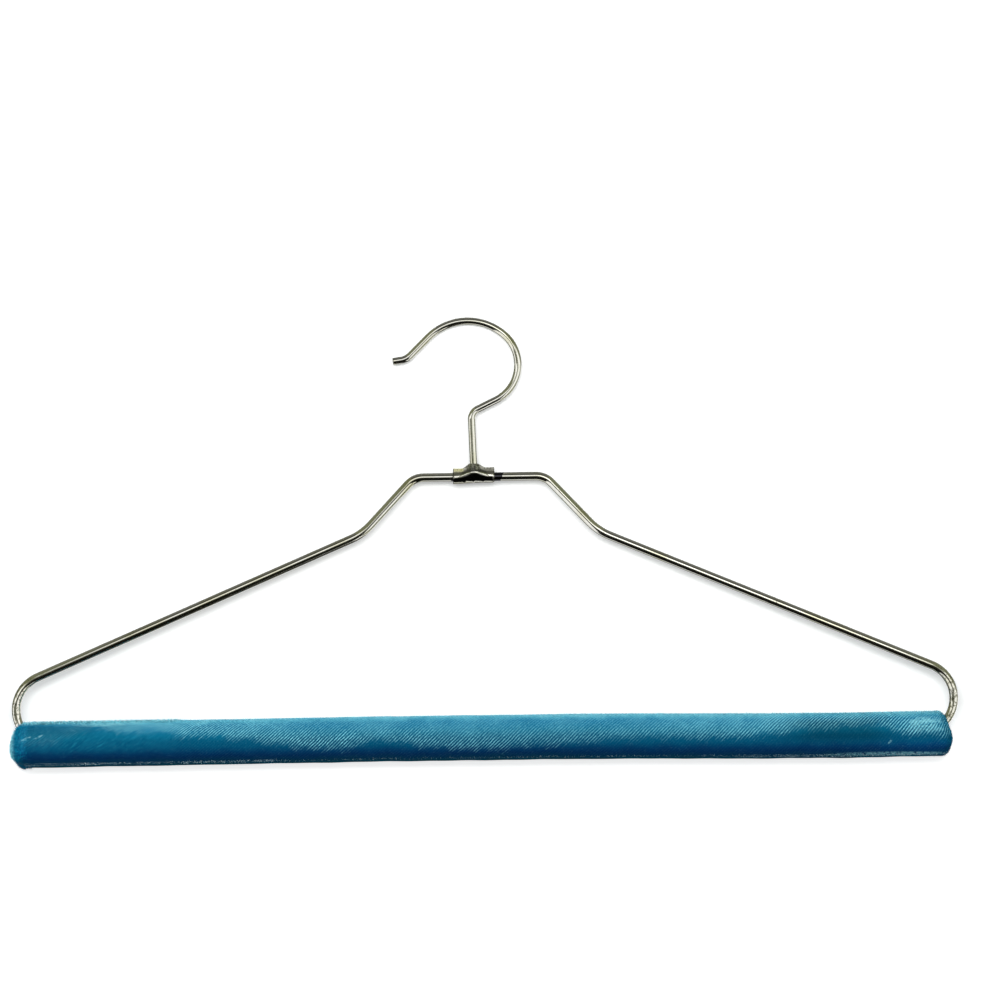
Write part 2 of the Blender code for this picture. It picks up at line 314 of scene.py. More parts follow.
board_finish = open_finish("white_board")
set_shader({"Base Color": (0.86, 0.87, 0.86), "Roughness": 0.9, "Specular IOR Level": 0.1})
matt = shader.outputs[0]
ray = add("LightPath")
place = axes(object_place())
# The glow is stronger below the bar: painted light there leaves the bar's shadow faint.
level = between(place["Z"], bar_z - 4 * MM, bar_z + 12 * MM, 0.56, 0.19)
glow = add("Emission", {"Color": WHITE, "Strength": level})[0]
lit = add("AddShader", {0: matt, 1: glow})[0]
seen = maths("MAXIMUM", ray["Is Camera Ray"], ray["Is Glossy Ray"])
front = add("MixShader", {0: seen, 1: matt, 2: lit})[0]
geometry = add("NewGeometry")
to_viewer = axes(geometry["Incoming"])
askew = step(times(to_viewer["Y"], -1.0), 0.965, 0.94)
see_through = maths("MAXIMUM", geometry["Backfacing"], times(askew, ray["Is Camera Ray"]))
clear = add("BsdfTransparent")[0]
both = add("MixShader", {0: see_through, 1: front, 2: clear})[0]
fill(open_nodes["Material Output"].inputs["Surface"], both)
dress(board, board_finish)
board.visible_glossy = False

# %% [markdown]
# ## Light
#
# One large soft lamp above and a little in front lights the top of the bar, and the sky fills in the rest.
# Polished wire shows only what it mirrors, so to glossy rays the sky is a studio: straight ahead a bright
# panel stands over a dark floor, and to the sides the light comes from below and the dim ceiling begins
# higher up. That is what draws the white and the black line along each wire, and lets them change as the
# wire turns.

# %% Hang the lamp
lamp_data = bpy.data.lights.new("top_panel", "AREA")
lamp_data.shape = "RECTANGLE"
lamp_data.size = 0.9
lamp_data.size_y = 0.42
lamp_data.energy = 11.0
lamp = bpy.data.objects.new("top_panel", lamp_data)
bpy.context.collection.objects.link(lamp)
lamp.location = (-0.05, -1.05, 0.26)
lamp.rotation_euler = (Vector((bar_x, 0.0, bar_z)) - lamp.location).to_track_quat("-Z", "Y").to_euler()
lamp.visible_glossy = False
print("lamp", round(lamp_data.size, 2), "by", round(lamp_data.size_y, 2), "m")

# %% List the bands of the mirrored studio
# Each band is an angle up from straight ahead, in degrees, and the colour there.
MIDDLE_BANDS = (
    (-180, (0.16, 0.16, 0.14)),
    (-122, (0.22, 0.22, 0.20)),
    (-112, (0.90, 0.90, 0.85)),
    (-98, (0.90, 0.90, 0.85)),
    (-89, (0.008, 0.008, 0.006)),
    (-14, (0.006, 0.006, 0.004)),
    (-6, (0.10, 0.10, 0.08)),
    (3, (1.15, 1.15, 1.08)),
    (22, (1.15, 1.15, 1.08)),
    (32, (0.065, 0.065, 0.052)),
    (60, (0.090, 0.090, 0.075)),
    (100, (0.170, 0.172, 0.150)),
    (180, (0.20, 0.20, 0.18)),
)
SIDE_BANDS = (
    (-180, (0.30, 0.30, 0.25)),
    (-150, (0.14, 0.14, 0.11)),
    (-126, (0.16, 0.16, 0.13)),
    (-112, (1.0, 1.0, 0.96)),
    (-14, (1.0, 1.0, 0.95)),
    (2, (0.90, 0.90, 0.78)),
    (12, (0.19, 0.20, 0.115)),
    (60, (0.17, 0.18, 0.105)),
    (120, (0.20, 0.205, 0.14)),
    (180, (0.30, 0.30, 0.25)),
)

# %% Paint the sky
sky = bpy.data.worlds.new("studio")
bpy.context.scene.world = sky
sky.use_nodes = True
open_tree(sky.node_tree)
way = axes(add("TexCoord")["Generated"])
height = maths("ARCTAN2", way["Z"], times(way["Y"], -1.0))
beside = size_of(way["X"])
off_level = size_of(way["Z"])
rightward = maths("MAXIMUM", way["X"], 0.0)
slipped = times(rightward, 3.5, step(height, -0.7, -1.3))
around = scaled(plus(height, slipped), 0.5 / math.pi, 0.5)


def band_ramp(bands):
    return ramp(around, [(0.5 + angle / 360.0, colour) for angle, colour in bands])


spread = minus(beside, times(off_level, 0.45))
mirrored = mix(step(spread, 0.12, 0.17), band_ramp(MIDDLE_BANDS), band_ramp(SIDE_BANDS))

# A dim figure stands at the left, a lantern hangs at each side and a brighter window is right of the
# middle.
tilt = minus(off_level, times(beside, 0.25))
corner = minus(beside, times(off_level, 1.1))
figure = where((way["X"], -0.92, -0.80), (way["X"], 0.32, 0.15), (tilt, 0.10, 0.02))
lantern = where((height, 0.02, 0.09), (height, 0.52, 0.38), (corner, 0.12, 0.22))
window = where((height, 0.02, 0.08), (height, 0.52, 0.42), (way["X"], 0.02, 0.10), (spread, 0.17, 0.12))
mirrored = layered(mirrored, (
    (times(figure, 0.9), (0.060, 0.065, 0.028)),
    (lantern, (1.10, 1.10, 1.03)),
    (window, (1.85, 1.85, 1.66)),
))

ray = add("LightPath")
soft = mix(ray["Is Glossy Ray"], (0.50, 0.505, 0.51), mirrored)
background = open_nodes["Background"].inputs
fill(background["Color"], mix(ray["Is Camera Ray"], soft, WHITE))
fill(background["Strength"], 1.0)
bpy.context.scene.view_settings.view_transform = "Standard"
print("studio drawn with", len(open_nodes), "nodes")

# %% [markdown]
# ## Camera
#
# The photograph looks straight at the hanger and is turned by less than a degree. A long lens keeps the two
# ends of the bar the same size.

# %% Place the camera
PHOTO_WIDTH = 421.9 * MM
PHOTO_TURN = math.radians(0.8)
camera_data = bpy.data.cameras.new("camera")
camera_data.lens = 120.0
camera = bpy.data.objects.new("camera", camera_data)
bpy.context.collection.objects.link(camera)
distance = PHOTO_WIDTH * camera_data.lens / camera_data.sensor_width
camera.location = (12.9 * MM, -distance, -74.2 * MM)
camera.rotation_euler = (math.pi / 2, PHOTO_TURN, 0.0)
bpy.context.scene.camera = camera
print("camera at", round(distance, 3), "m")

# %% [markdown]
# ## Nickel plate
#
# The hook and the frame are steel wire with bright nickel plate. Real plate isn't a perfect mirror: it has
# fine drawing marks along the wire, small pits where it is thin, and a yellowish tint in places. A cut-off
# noise makes the pits, and a slower one the tint.


# %% Helper for plated steel
def plated_steel(name, bright, tint, roughness, pit_level):
    finish = open_finish(name)
    place = object_place()
    tinted = patches(0.42, 0.68, place, 60.0, 3.0)
    pits = patches(pit_level, pit_level + 0.07, place, 1500.0, 3.0, 0.65)
    colour = mix(pits, mix(tinted, bright, tint), (0.06, 0.055, 0.045))
    cloudy = between(noise(place, 260.0, 4.0, 0.6), 0.3, 0.7, roughness * 0.6, roughness * 1.5)
    rough = scaled(pits, 0.35, cloudy)
    set_shader({"Metallic": 1.0, "Base Color": colour, "Roughness": rough})
    set_bump(minus(noise(place, 420.0, 2.0), pits), 0.10, 0.05 * MM)
    return finish, place, colour, rough


hook_plate = plated_steel("hook_plate", (0.90, 0.89, 0.85), (0.74, 0.72, 0.54), 0.09, 0.64)[0]

# %% [markdown]
# The frame's plate has two more features. The end bends are scarred, where the bending tool pressed on
# them. And the wire was plated with the clip in place, and the clip has since slid a little, so a short
# stretch of the neck beside it is bare and dark, and ends in a slanting bright edge.

# %% Scarred bends and the bare stretch of the neck
BARE_LENGTH = 3.3 * MM
EDGE_SLOPE = 0.40
frame_plate, place, colour, rough = plated_steel(
    "frame_plate", (0.90, 0.89, 0.86), (0.76, 0.74, 0.58), 0.08, 0.65
)
parts = axes(place)
reach = size_of(minus(parts["X"], frame_x))
at_bend = step(reach, 188 * MM, 196 * MM)
scarred = patches(0.50, 0.58, place, 800.0, 4.0, 0.7)
colour = mix(times(at_bend, scarred, 0.7), colour, (0.10, 0.10, 0.045))
slanted = scaled(parts["Z"], -EDGE_SLOPE, EDGE_SLOPE * neck_z)
edge = plus(slanted, parts["X"], wander(0.8 * MM, place, 900.0))
bare_end = clip_high.x + BARE_LENGTH
past = step(edge, bare_end, bare_end + 0.25 * MM)
near = step(edge, clip_low.x - 0.3 * MM, clip_low.x)
high = step(parts["Z"], neck_z - 4 * MM, neck_z - 3 * MM)
bare = times(minus(near, past), high, clamp=True)
colour = mix(bare, colour, (0.07, 0.07, 0.085))
wide = step(edge, bare_end + 0.3 * MM, bare_end + 0.9 * MM)
lip = times(minus(past, wide), high, clamp=True)
set_shader({"Base Color": mix(lip, colour, (0.95, 0.94, 0.90))})
print("bare wire from", round(clip_high.x / MM, 1), "to", round(bare_end / MM, 1), "mm")

# %% [markdown]
# ## Bending wire
#
# A wire bender works with a table: so many millimetres straight, then a bend of so many degrees round a pin
# of a known radius. The same table can drive Blender. A circle is the wire's cut end, a straight run is an
# extrude, and a bend is a spin about the pin's centre. Spin turns left for a positive angle about +Y when
# it is seen from the front, which is what the table means too.

# %% A wire from a bend table
WIRE_SIDES = 32
DEGREES_A_STEP = 5.0


def draw_wire(name, start, heading, radius, moves):
    here = Vector((start[0], 0.0, start[1]))
    start_piece()
    bpy.ops.mesh.primitive_circle_add(
        vertices=WIRE_SIDES, radius=radius, location=here, rotation=(0.0, math.pi / 2 - heading, 0.0)
    )
    wire = settle(name)
    bpy.ops.object.mode_set(mode="EDIT")
    bpy.ops.mesh.select_all(action="SELECT")
    for kind, size, amount in moves:
        along = Vector((math.cos(heading), 0.0, math.sin(heading)))
        if kind == "straight":
            here = here + along * size
            bpy.ops.mesh.extrude_region_move(TRANSFORM_OT_translate={"value": along * size})
            if amount != 1.0:
                bpy.ops.transform.resize(value=(amount, amount, amount), center_override=here)
            continue
        turn = math.radians(amount)
        left = Vector((-along.z, 0.0, along.x)) * math.copysign(size, turn)
        steps = max(2, math.ceil(abs(amount) / DEGREES_A_STEP))
        bpy.ops.mesh.spin(steps=steps, angle=turn, center=here + left, axis=(0.0, 1.0, 0.0))
        swing = complex(-left.x, -left.z) * complex(math.cos(turn), math.sin(turn))
        here = here + left + Vector((swing.real, 0.0, swing.imag))
        heading += turn
    close_mesh(0.001 * MM, WIRE_SIDES)
    smooth(wire)
    print(name, triangles(wire), "triangles, ends at", [round(v / MM, 1) for v in (here.x, here.z)])
    return wire


# %% [markdown]
# ## Hook
#
# The hook is one wire. Its foot is upset into a head that the clip holds, so it can turn but not pull out.
# From the head it runs up, bends out, swings round the bowl and the crown, and ends in a lip that is bent
# up again. The end is cut off and left a little sharp. Sizes in the table are in millimetres. A bend's last
# number is its angle, and a straight run's last number is how much the wire grows or shrinks at its far
# end.

# %% Bend the hook
HEAD_R = 2.45 * MM
HEAD_EDGE = 0.25 * MM
HEAD_BOTTOM = FRAME_WIRE_R + 0.3 * MM
LEAN = math.radians(1.8)
SHANK_PIVOT = 2.55 * MM
foot_x = swivel_x + math.sin(LEAN) * SHANK_PIVOT
foot_z = neck_z + HEAD_BOTTOM + SHANK_PIVOT * (1 - math.cos(LEAN))
HOOK_TABLE = (
    ("straight", 0.25, HEAD_R / (HEAD_R - HEAD_EDGE)),
    ("straight", 0.75, 1.0),
    ("straight", 0.25, HOOK_WIRE_R / HEAD_R),
    ("straight", 20.65, 1.0),
    ("bend", 4.5, -66.2),
    ("straight", 8.7, 1.0),
    ("bend", 16.7, 112.5),
    ("bend", 23.5, 86.5),
    ("straight", 10.6, 1.0),
    ("bend", 7.0, -36.8),
    ("straight", 2.7, 1.0),
    ("straight", 0.15, 0.90),
    ("straight", 0.15, 1.13),
    ("straight", 0.35, 0.99),
    ("straight", 0.15, 0.80),
)
moves = [(kind, size * MM, amount) for kind, size, amount in HOOK_TABLE]
hook = draw_wire("swivel_hook", (foot_x, foot_z), math.pi / 2 + LEAN, HEAD_R - HEAD_EDGE, moves)
dress(hook, hook_plate)
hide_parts("hook")
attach(hook, "hook")

# %% [markdown]
# ## Frame
#
# The frame is one wire as well, from the end of one leg inside the bar to the end of the other. Its corners
# are easier to name than its straight runs, so the table is worked out from the corners: at each one, the
# bend takes `radius * tan(turn / 2)` off the straight runs on both sides. The two halves mirror each other,
# but the neck sits a millimetre off the middle.


# %% Turn corners into a bend table
def bend_table(corners, radii):
    moves = []
    used = 0.0
    legs = [b - a for a, b in zip(corners, corners[1:])]
    for leg, ahead, radius in zip(legs, legs[1:], radii):
        turn = math.atan2(leg.x * ahead.y - leg.y * ahead.x, leg.dot(ahead))
        cut = radius * math.tan(abs(turn) / 2)
        if leg.length - used - cut > 0.01 * MM:
            moves.append(("straight", leg.length - used - cut, 1.0))
        moves.append(("bend", radius, math.degrees(turn)))
        used = cut
    moves.append(("straight", legs[-1].length - used - 0.4 * MM, 1.0))
    moves.append(("straight", 0.4 * MM, 0.78))
    return moves


# %% Bend the frame
NECK_SAG = 0.35
NECK_CORNERS = ((27.6, -NECK_SAG), (49.7, -23.5 - NECK_SAG))
SIDE_CORNERS = ((197.8, -86.2), (197.8, -110.8), (147.3, -110.8))
BENDS = [9.0 * MM, 25.0 * MM, 15.0 * MM, 14.5 * MM]
neck_x = frame_x - 1.0 * MM
halves = []
for side in (-1.0, 1.0):
    halves.append([
        Vector((middle + side * x * MM, neck_z + z * MM))
        for middle, corners in ((neck_x, NECK_CORNERS), (frame_x, SIDE_CORNERS))
        for x, z in corners
    ])
corners = halves[0][::-1] + halves[1]
wire = draw_wire("bent_frame", corners[0], math.pi, FRAME_WIRE_R, bend_table(corners, BENDS[::-1] + BENDS))
dress(wire, frame_plate)
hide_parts("frame_wire")
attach(wire, "frame")

# %% [markdown]
# ## Clip
#
# The clip is a strip of steel folded in half round the neck wire. Its two leaves meet above the wire, bulge
# over the hook's head and narrow to a cone round the shank. A flat grid is wrapped round as the strip was:
# across the strip, a point first rolls round the wire and then walks up a leaf. Solidify gives it the
# sheet's thickness, and Bevel rounds the sheared edges. Its sizes here are in millimetres.

# %% Fold the clip
SHEET = 0.6 * MM
CLIP_HALF = (clip_high.x - clip_low.x) / 2
ROLLED = 0.6
ROLL_END = math.radians(125.0)
CONE_FOOT = 1.9
BELLY_R = 3.3
TOP = 5.5
DENTS = (
    (-3.2, -2.1, 0.30, 0.8),
    (0.6, -2.3, 0.34, 0.7),
    (4.6, -1.9, 0.22, 0.9),
    (6.4, 2.6, 0.12, 0.9),
)
clip, flat = flat_sheet("folded_clip", 84, 96)
x = flat[:, 0] * CLIP_HALF / MM
side = np.where(flat[:, 1] < 0, -1.0, 1.0)
walk = np.abs(flat[:, 1])

roll_r = 2.4 - np.where(x > 0, 0.42, 0.10) * ease((np.abs(x) - 8.0) / 0.7)
bulge = np.cos(math.pi / 2 * np.clip((x - 0.2) / 7.6, -1.0, 1.0)) ** 2
swing_up = np.minimum(walk / ROLLED, 1.0) * ROLL_END - math.pi / 2
belly_up = np.where(swing_up > 0, swing_up * 0.68, swing_up)
roll_y, roll_z = roll_r * np.cos(swing_up), roll_r * np.sin(swing_up)
belly_y = BELLY_R * np.cos(belly_up)
belly_z = CONE_FOOT + np.where(belly_up < 0, 4.2, 1.6) * np.sin(belly_up)
low_y = roll_y + (belly_y - roll_y) * bulge
low_z = roll_z + (belly_z - roll_z) * bulge + 0.03 * x
flange_top = np.where(x < 0, 3.6, 4.0)
top_edge = flange_top + (TOP - flange_top) * ease((5.0 - np.abs(x)) / 3.4)
rise = np.clip((walk - ROLLED) / 0.4, 0.0, 1.0)
leaf_z = low_z + (top_edge - low_z) * rise
flange_y = 0.45 + (low_y - 0.45) * (1 - ease(rise / 0.30))
cone_r = BELLY_R - np.maximum(leaf_z - CONE_FOOT, 0.0) * 0.40
cone_y = np.sqrt(np.clip(cone_r**2 - x**2, 0.0, None))
leaf_y = np.where(walk > ROLLED, np.maximum(flange_y, cone_y), low_y)
for dent_x, dent_z, deep, wide in DENTS:
    away = ((x - dent_x) ** 2 + (leaf_z - dent_z) ** 2) / wide**2
    leaf_y = leaf_y - np.where(side < 0, 1.0, 0.6) * deep * np.exp(-away)
folded = [swivel_x + x * MM, side * leaf_y * MM, neck_z + (leaf_z - NECK_SAG) * MM]
write_points(clip, np.stack(folded, axis=1))
for kind, settings in (
    ("SOLIDIFY", {"thickness": SHEET, "offset": 0.0}),
    ("BEVEL", {"width": 0.10 * MM, "segments": 2, "limit_method": "ANGLE", "angle_limit": math.radians(50)}),
):
    modifier = clip.modifiers.new(kind.title(), kind)
    for key, value in settings.items():
        setattr(modifier, key, value)
    bpy.ops.object.modifier_apply(modifier=modifier.name)
smooth(clip, 40.0)
print("clip", triangles(clip), "triangles")

# %% [markdown]
# The clip is the most worn part, and much of its look is painted light and shade. A painted highlight runs
# along it as a bright ridge and rises over the hump, with a painted shadow above the ridge and a painted
# dark reflection below it. The plate above is dull and also painted darker, the left flange is yellow, the
# cone is chipped, and the ends are painted dark as shade. Each is a layer of colour.

# %% Worn finish of the clip
clip_plate, place, colour, rough = plated_steel(
    "clip_plate", (0.80, 0.79, 0.75), (0.55, 0.54, 0.44), 0.11, 0.62
)
parts = axes(place)
off_x = minus(parts["X"], swivel_x + 0.2 * MM)
hump = step(size_of(off_x), 7.6 * MM, 0.0)
ridge = scaled(hump, 1.9 * MM, times(off_x, 0.03))
over = minus(minus(parts["Z"], neck_z - NECK_SAG * MM), ridge)
upper = step(parts["Z"], neck_z + 1.2 * MM, neck_z + 2.6 * MM)
leftward = step(parts["X"], swivel_x - 3.5 * MM, swivel_x - 5.0 * MM)
yellow = times(upper, leftward)
# The plate above the ridge is dull, and this layer also paints it darker as painted shade.
dull_and_shaded = step(over, 0.55 * MM, 1.0 * MM)
# Painted highlight: a bright line along the ridge. Painted shadow lies above it, and a painted dark
# reflection below it.
bright = where((over, -0.05 * MM, 0.12 * MM), (over, 0.62 * MM, 0.42 * MM))
shadow = where((over, 0.55 * MM, 0.85 * MM), (over, 2.3 * MM, 1.5 * MM), (hump, 0.05, 0.35))
painted_dark_reflection = where((over, -0.10 * MM, -0.45 * MM), (parts["Z"], neck_z - 2.3 * MM, neck_z - 1.9 * MM))
coned = step(parts["Z"], neck_z + 2.3 * MM, neck_z + 3.2 * MM)
worn = patches(0.52, 0.60, place, 700.0, 4.0, 0.7)
chipped = patches(0.54, 0.60, place, 1500.0, 3.0, 0.7)
from_middle = size_of(minus(parts["X"], swivel_x))
# Painted shade: the ends of the clip are painted dark.
rim = step(from_middle, CLIP_HALF - 0.35 * MM, CLIP_HALF - 0.2 * MM)
colour = layered(colour, (
    (yellow, (0.96, 0.93, 0.55)),
    (times(dull_and_shaded, minus(0.75, yellow)), (0.36, 0.355, 0.31)),
    (times(bright, 0.9), (1.0, 0.99, 0.96)),
    (times(shadow, 0.62), (0.05, 0.05, 0.05)),
    (times(painted_dark_reflection, 0.88), (0.02, 0.02, 0.025)),
    (times(worn, scaled(coned, 0.60, 0.20)), (0.03, 0.03, 0.035)),
    (times(chipped, coned, 0.75), (0.95, 0.95, 0.90)),
    (times(rim, 0.85), (0.05, 0.05, 0.045)),
))
set_shader({"Base Color": colour, "Roughness": plus(rough, times(dull_and_shaded, 0.30))})
dress(clip, clip_plate)
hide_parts("neck_clip")
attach(clip, "clip")

# %% [markdown]
# ## Velvet sleeve
#
# The bar is dressed in a sleeve of ribbed velvet. The cloth is cut on the slant, wrapped round the wadding
# and lapped along a seam low at the front, so its ribs climb round the bar at about forty-five degrees. One
# flat grid can be all of that: its columns are the sides and crests of the ribs, and each row is moved on a
# little before the cloth is wrapped. As the ribs must meet at the seam, a full turn moves them on by whole
# ribs.

# %% Lay out the cloth
RIB = 1.5 * MM
COLUMNS_A_RIB = 5
RIBS_A_TURN = 40
ROWS = 44
DOME = 5.2 * MM
EYE_RIM = 2.55 * MM
SEAM_TURN = math.radians(36.0)
FULL_TURN = 2 * math.pi
column = RIB / COLUMNS_A_RIB
swing = RIBS_A_TURN * COLUMNS_A_RIB
slant = math.degrees(math.atan2(FULL_TURN * bar_r, swing * column))
print("ribs climb at", round(slant, 1), "degrees and a turn takes", RIBS_A_TURN, "ribs")

# %% [markdown]
# ## Profile of the bar
#
# Wrapped cloth keeps its length, so the profile is a table from the length along the cloth to the place
# along the bar and the radius there. It starts at the closed eye, passes the groove of the closing thread,
# rounds the dome and runs along the bar. The right end is packed tighter than the left, so its dome is
# squarer. The cloth stops a little short of the solid's ends, because the pile stands out past it there.
# The ends aren't quite square to the bar either, so a table of leans sets each height in or out.

# %% Profile helpers
LEFT_PILE = 1.1 * MM
RIGHT_PILE = 0.5 * MM
EYE_X = [-1.7, -0.9, -0.35, -0.12, -0.35, -0.62, -0.5, -0.12]
EYE_R = [0.0, 0.35, 0.6, 1.0, 1.55, 2.0, 2.4, 2.6]
LEFT_HEIGHTS = [-1.0, -0.75, -0.53, -0.3, 0.0, 0.2, 0.4, 0.77, 1.0]
LEFT_LEANS = [1.3, 1.2, 0.4, 0.0, 0.1, 0.4, 0.75, 1.0, 1.2]
RIGHT_HEIGHTS = [-1.0, -0.6, -0.4, -0.15, 0.06, 0.28, 0.5, 0.65, 0.86, 1.0]
RIGHT_LEANS = [0.4, 0.45, 0.1, 0.0, 0.4, 1.2, 1.7, 1.9, 2.0, 2.0]


def end_profile(roundness):
    turns = np.linspace(0.0, math.pi / 2, 25)
    bow = np.power(np.sin(turns), roundness)
    fall = np.power(np.cos(turns), roundness)
    x = np.concatenate([EYE_X, -DOME / MM * (1 - fall)]) * MM
    r = np.concatenate([EYE_R, EYE_RIM / MM + (bar_r - EYE_RIM) / MM * bow]) * MM
    return x, r


def end_lean(x, height):
    left = np.interp(height, LEFT_HEIGHTS, LEFT_LEANS)
    right = np.interp(height, RIGHT_HEIGHTS, RIGHT_LEANS)
    left_share = np.clip((11.0 - (x + bar_half) / MM) / 8.0, 0.0, 1.0)
    right_share = np.clip((11.0 - (bar_half - x) / MM) / 8.0, 0.0, 1.0)
    return (left * left_share**2 - right * right_share**2) * MM


def lengths_along(x, r):
    return np.concatenate([[0.0], np.cumsum(np.hypot(np.diff(x), np.diff(r)))])


def cloth_profile():
    left_x, left_r = end_profile(1.0)
    right_x, right_r = end_profile(0.8)
    x = np.concatenate([LEFT_PILE - bar_half - left_x, (bar_half - RIGHT_PILE + right_x)[::-1]])
    r = np.concatenate([left_r, right_r[::-1]])
    length = lengths_along(x, r)
    return length - length[-1] / 2, x, r


profile_u, profile_x, profile_r = cloth_profile()
cloth_length = profile_u[-1] - profile_u[0]
print("cloth", round(cloth_length / MM, 1), "mm from eye to eye")

# %% Set out the lie of the pile
# Place along the bar, then how far down the ribs show, how strong they are, and how pale the top is, which
# is painted sheen.
LIE_OF_PILE = (
    (0.00, (0.50, 0.13, 0.03)),
    (0.05, (0.48, 0.15, 0.03)),
    (0.08, (0.20, 0.35, 0.20)),
    (0.105, (0.19, 0.85, 0.60)),
    (0.13, (0.25, 1.00, 0.80)),
    (0.15, (0.24, 0.90, 0.70)),
    (0.19, (0.31, 0.80, 0.55)),
    (0.25, (0.43, 0.75, 0.50)),
    (0.31, (0.60, 1.00, 0.55)),
    (0.345, (0.66, 1.00, 0.50)),
    (0.39, (0.50, 0.55, 0.50)),
    (0.44, (0.62, 0.75, 0.50)),
    (0.50, (0.71, 0.70, 0.60)),
    (0.57, (0.64, 0.55, 0.60)),
    (0.63, (0.56, 0.50, 0.50)),
    (0.70, (0.52, 0.50, 0.85)),
    (0.765, (0.56, 0.65, 1.00)),
    (0.82, (0.44, 0.80, 0.80)),
    (0.87, (0.34, 1.00, 0.55)),
    (0.915, (0.33, 1.00, 0.50)),
    (0.96, (0.52, 1.00, 0.50)),
    (1.00, (0.56, 0.80, 0.35)),
)
lie_spots = [spot for spot, lie in LIE_OF_PILE]
lie_depths = [lie[0] for spot, lie in LIE_OF_PILE]
print("ribs show down to between", min(lie_depths), "and", max(lie_depths), "of the bar's height")

# %% [markdown]
# ## Wrapping the cloth
#
# Cloth round a bar is never a perfect tube. It has soft lumps where the wadding is thicker, a lap along the
# seam, pleats where the ends are gathered, and a pucker where each end of the wire goes in. Each is a small
# push along the cloth's own normal. The pile hides the ribs at the left end and below the line set out
# above, so the relief fades there. The pushes match on both sides of the seam and die out at the eyes, so
# the sleeve closes. The bar has also bowed by less than a millimetre with use.


# %% Helpers for wrapping
def along_bar(u):
    return np.interp(u, profile_u, profile_x), np.interp(u, profile_u, profile_r)


def cloth_normal(u):
    x_next, r_next = along_bar(u + 0.1 * MM)
    x_last, r_last = along_bar(u - 0.1 * MM)
    normal = np.stack([-(r_next - r_last), x_next - x_last])
    return normal / np.maximum(np.hypot(normal[0], normal[1]), 1e-9)


def soft_noise(x, y, seed):
    value = np.zeros(len(x))
    rng = np.random.default_rng(seed)
    for wave in range(7):
        finer = 1 + wave * 0.7
        step = rng.uniform(0.5, 1.6, 2) * finer
        value += np.sin(x * step[0] + y * step[1] + rng.uniform(0, FULL_TURN)) / finer
    return value / 3.0


BOW_PLACES = [-200, -150, -40, 40, 75, 110, 150, 200]
BOW_HEIGHTS = [-0.3, -0.1, 0.38, 0.3, 0.0, -0.5, -0.8, -0.5]


def bar_bow(x):
    return np.interp(x / MM, BOW_PLACES, BOW_HEIGHTS) * MM


# %% Wrap the sleeve
columns = int(math.ceil(cloth_length / column)) + swing + 8
sleeve, flat = flat_sheet("velvet_sleeve", columns, ROWS)
column_index = np.rint((flat[:, 0] + 1) / 2 * columns)
row_index = np.rint((flat[:, 1] + 1) / 2 * ROWS)
share = row_index / ROWS
cloth_u = (column_index - (columns + swing) / 2 + share * swing) * column
pulled = np.interp(cloth_u, [-200 * MM, -60 * MM, 60 * MM, 200 * MM], [8.5 * MM, 0.5 * MM, 0.0, -4.0 * MM])
cloth_u += pulled * np.sin(math.pi * share)
cloth_u = np.clip(cloth_u, profile_u[0], profile_u[-1])

x, r = along_bar(cloth_u)
normal_x, normal_r = cloth_normal(cloth_u)
turn = SEAM_TURN + share * FULL_TURN
front, down = -np.sin(turn), -np.cos(turn)
from_left = (x + bar_half) / MM
from_right = (bar_half - x) / MM
open_cloth = np.clip((np.minimum(from_left, from_right) - 0.5) / 6.0, 0.0, 1.0)

# Ribs
plush = np.clip((from_left - 10.0) / 45.0, 0.0, 1.0)
rib_relief = np.cos(FULL_TURN * (column_index % COLUMNS_A_RIB) / COLUMNS_A_RIB)
ribs_end = np.interp((x + bar_half) / (2 * bar_half), lie_spots, lie_depths)
open_ribs = np.clip((ribs_end + 0.10 - (1 + np.cos(turn)) / 2) / 0.16, 0.12, 1.0)
push = 0.11 * MM * rib_relief * (0.25 + 0.75 * plush) * (0.3 + 0.7 * open_cloth) * open_ribs

# Gathers
at_end = np.clip((bar_r - r) / (bar_r - EYE_RIM), 0.0, 1.0)
gather = np.clip(at_end * 2.4, 0.0, 1.0) * np.clip((r - 1.2 * MM) / (2.5 * MM), 0.0, 1.0)
push += 0.22 * MM * gather * np.cos(11 * turn + 0.8 * np.sin(3 * turn))

# Lumps, the same on both sides of the seam
lumps, seam_first, seam_last = (
    soft_noise(x / (9 * MM), angle, 4)
    for angle in (turn, np.full(len(x), SEAM_TURN), np.full(len(x), SEAM_TURN + FULL_TURN))
)
lumps = lumps + (seam_first - seam_last) * ease(share * 3 - 2)
push += 0.12 * MM * open_cloth * lumps

# Lap, and the depth that the pile takes up
from_seam = (share + 0.5) % 1.0 - 0.5
lap = np.exp(-((from_seam * FULL_TURN * bar_r) / (0.7 * MM)) ** 2)
push += 0.22 * MM * lap * open_cloth
push -= 0.28 * MM + 0.3 * MM * np.exp(-(((from_left - 12.0) / 8.0) ** 2)) * np.clip(down, 0.0, 1.0)
push *= np.clip(np.minimum(cloth_u - profile_u[0], profile_u[-1] - cloth_u) / (0.8 * MM), 0.0, 1.0)
print("cloth pushed by", [round(v / MM, 2) for v in (push.min(), push.max())], "mm")
radius = r + normal_r * push
place_x = x + normal_x * push
place_x += end_lean(x, radius * down / bar_r)
write_points(sleeve, np.stack([bar_x + place_x, radius * front, bar_z + radius * down + bar_bow(x)], axis=1))

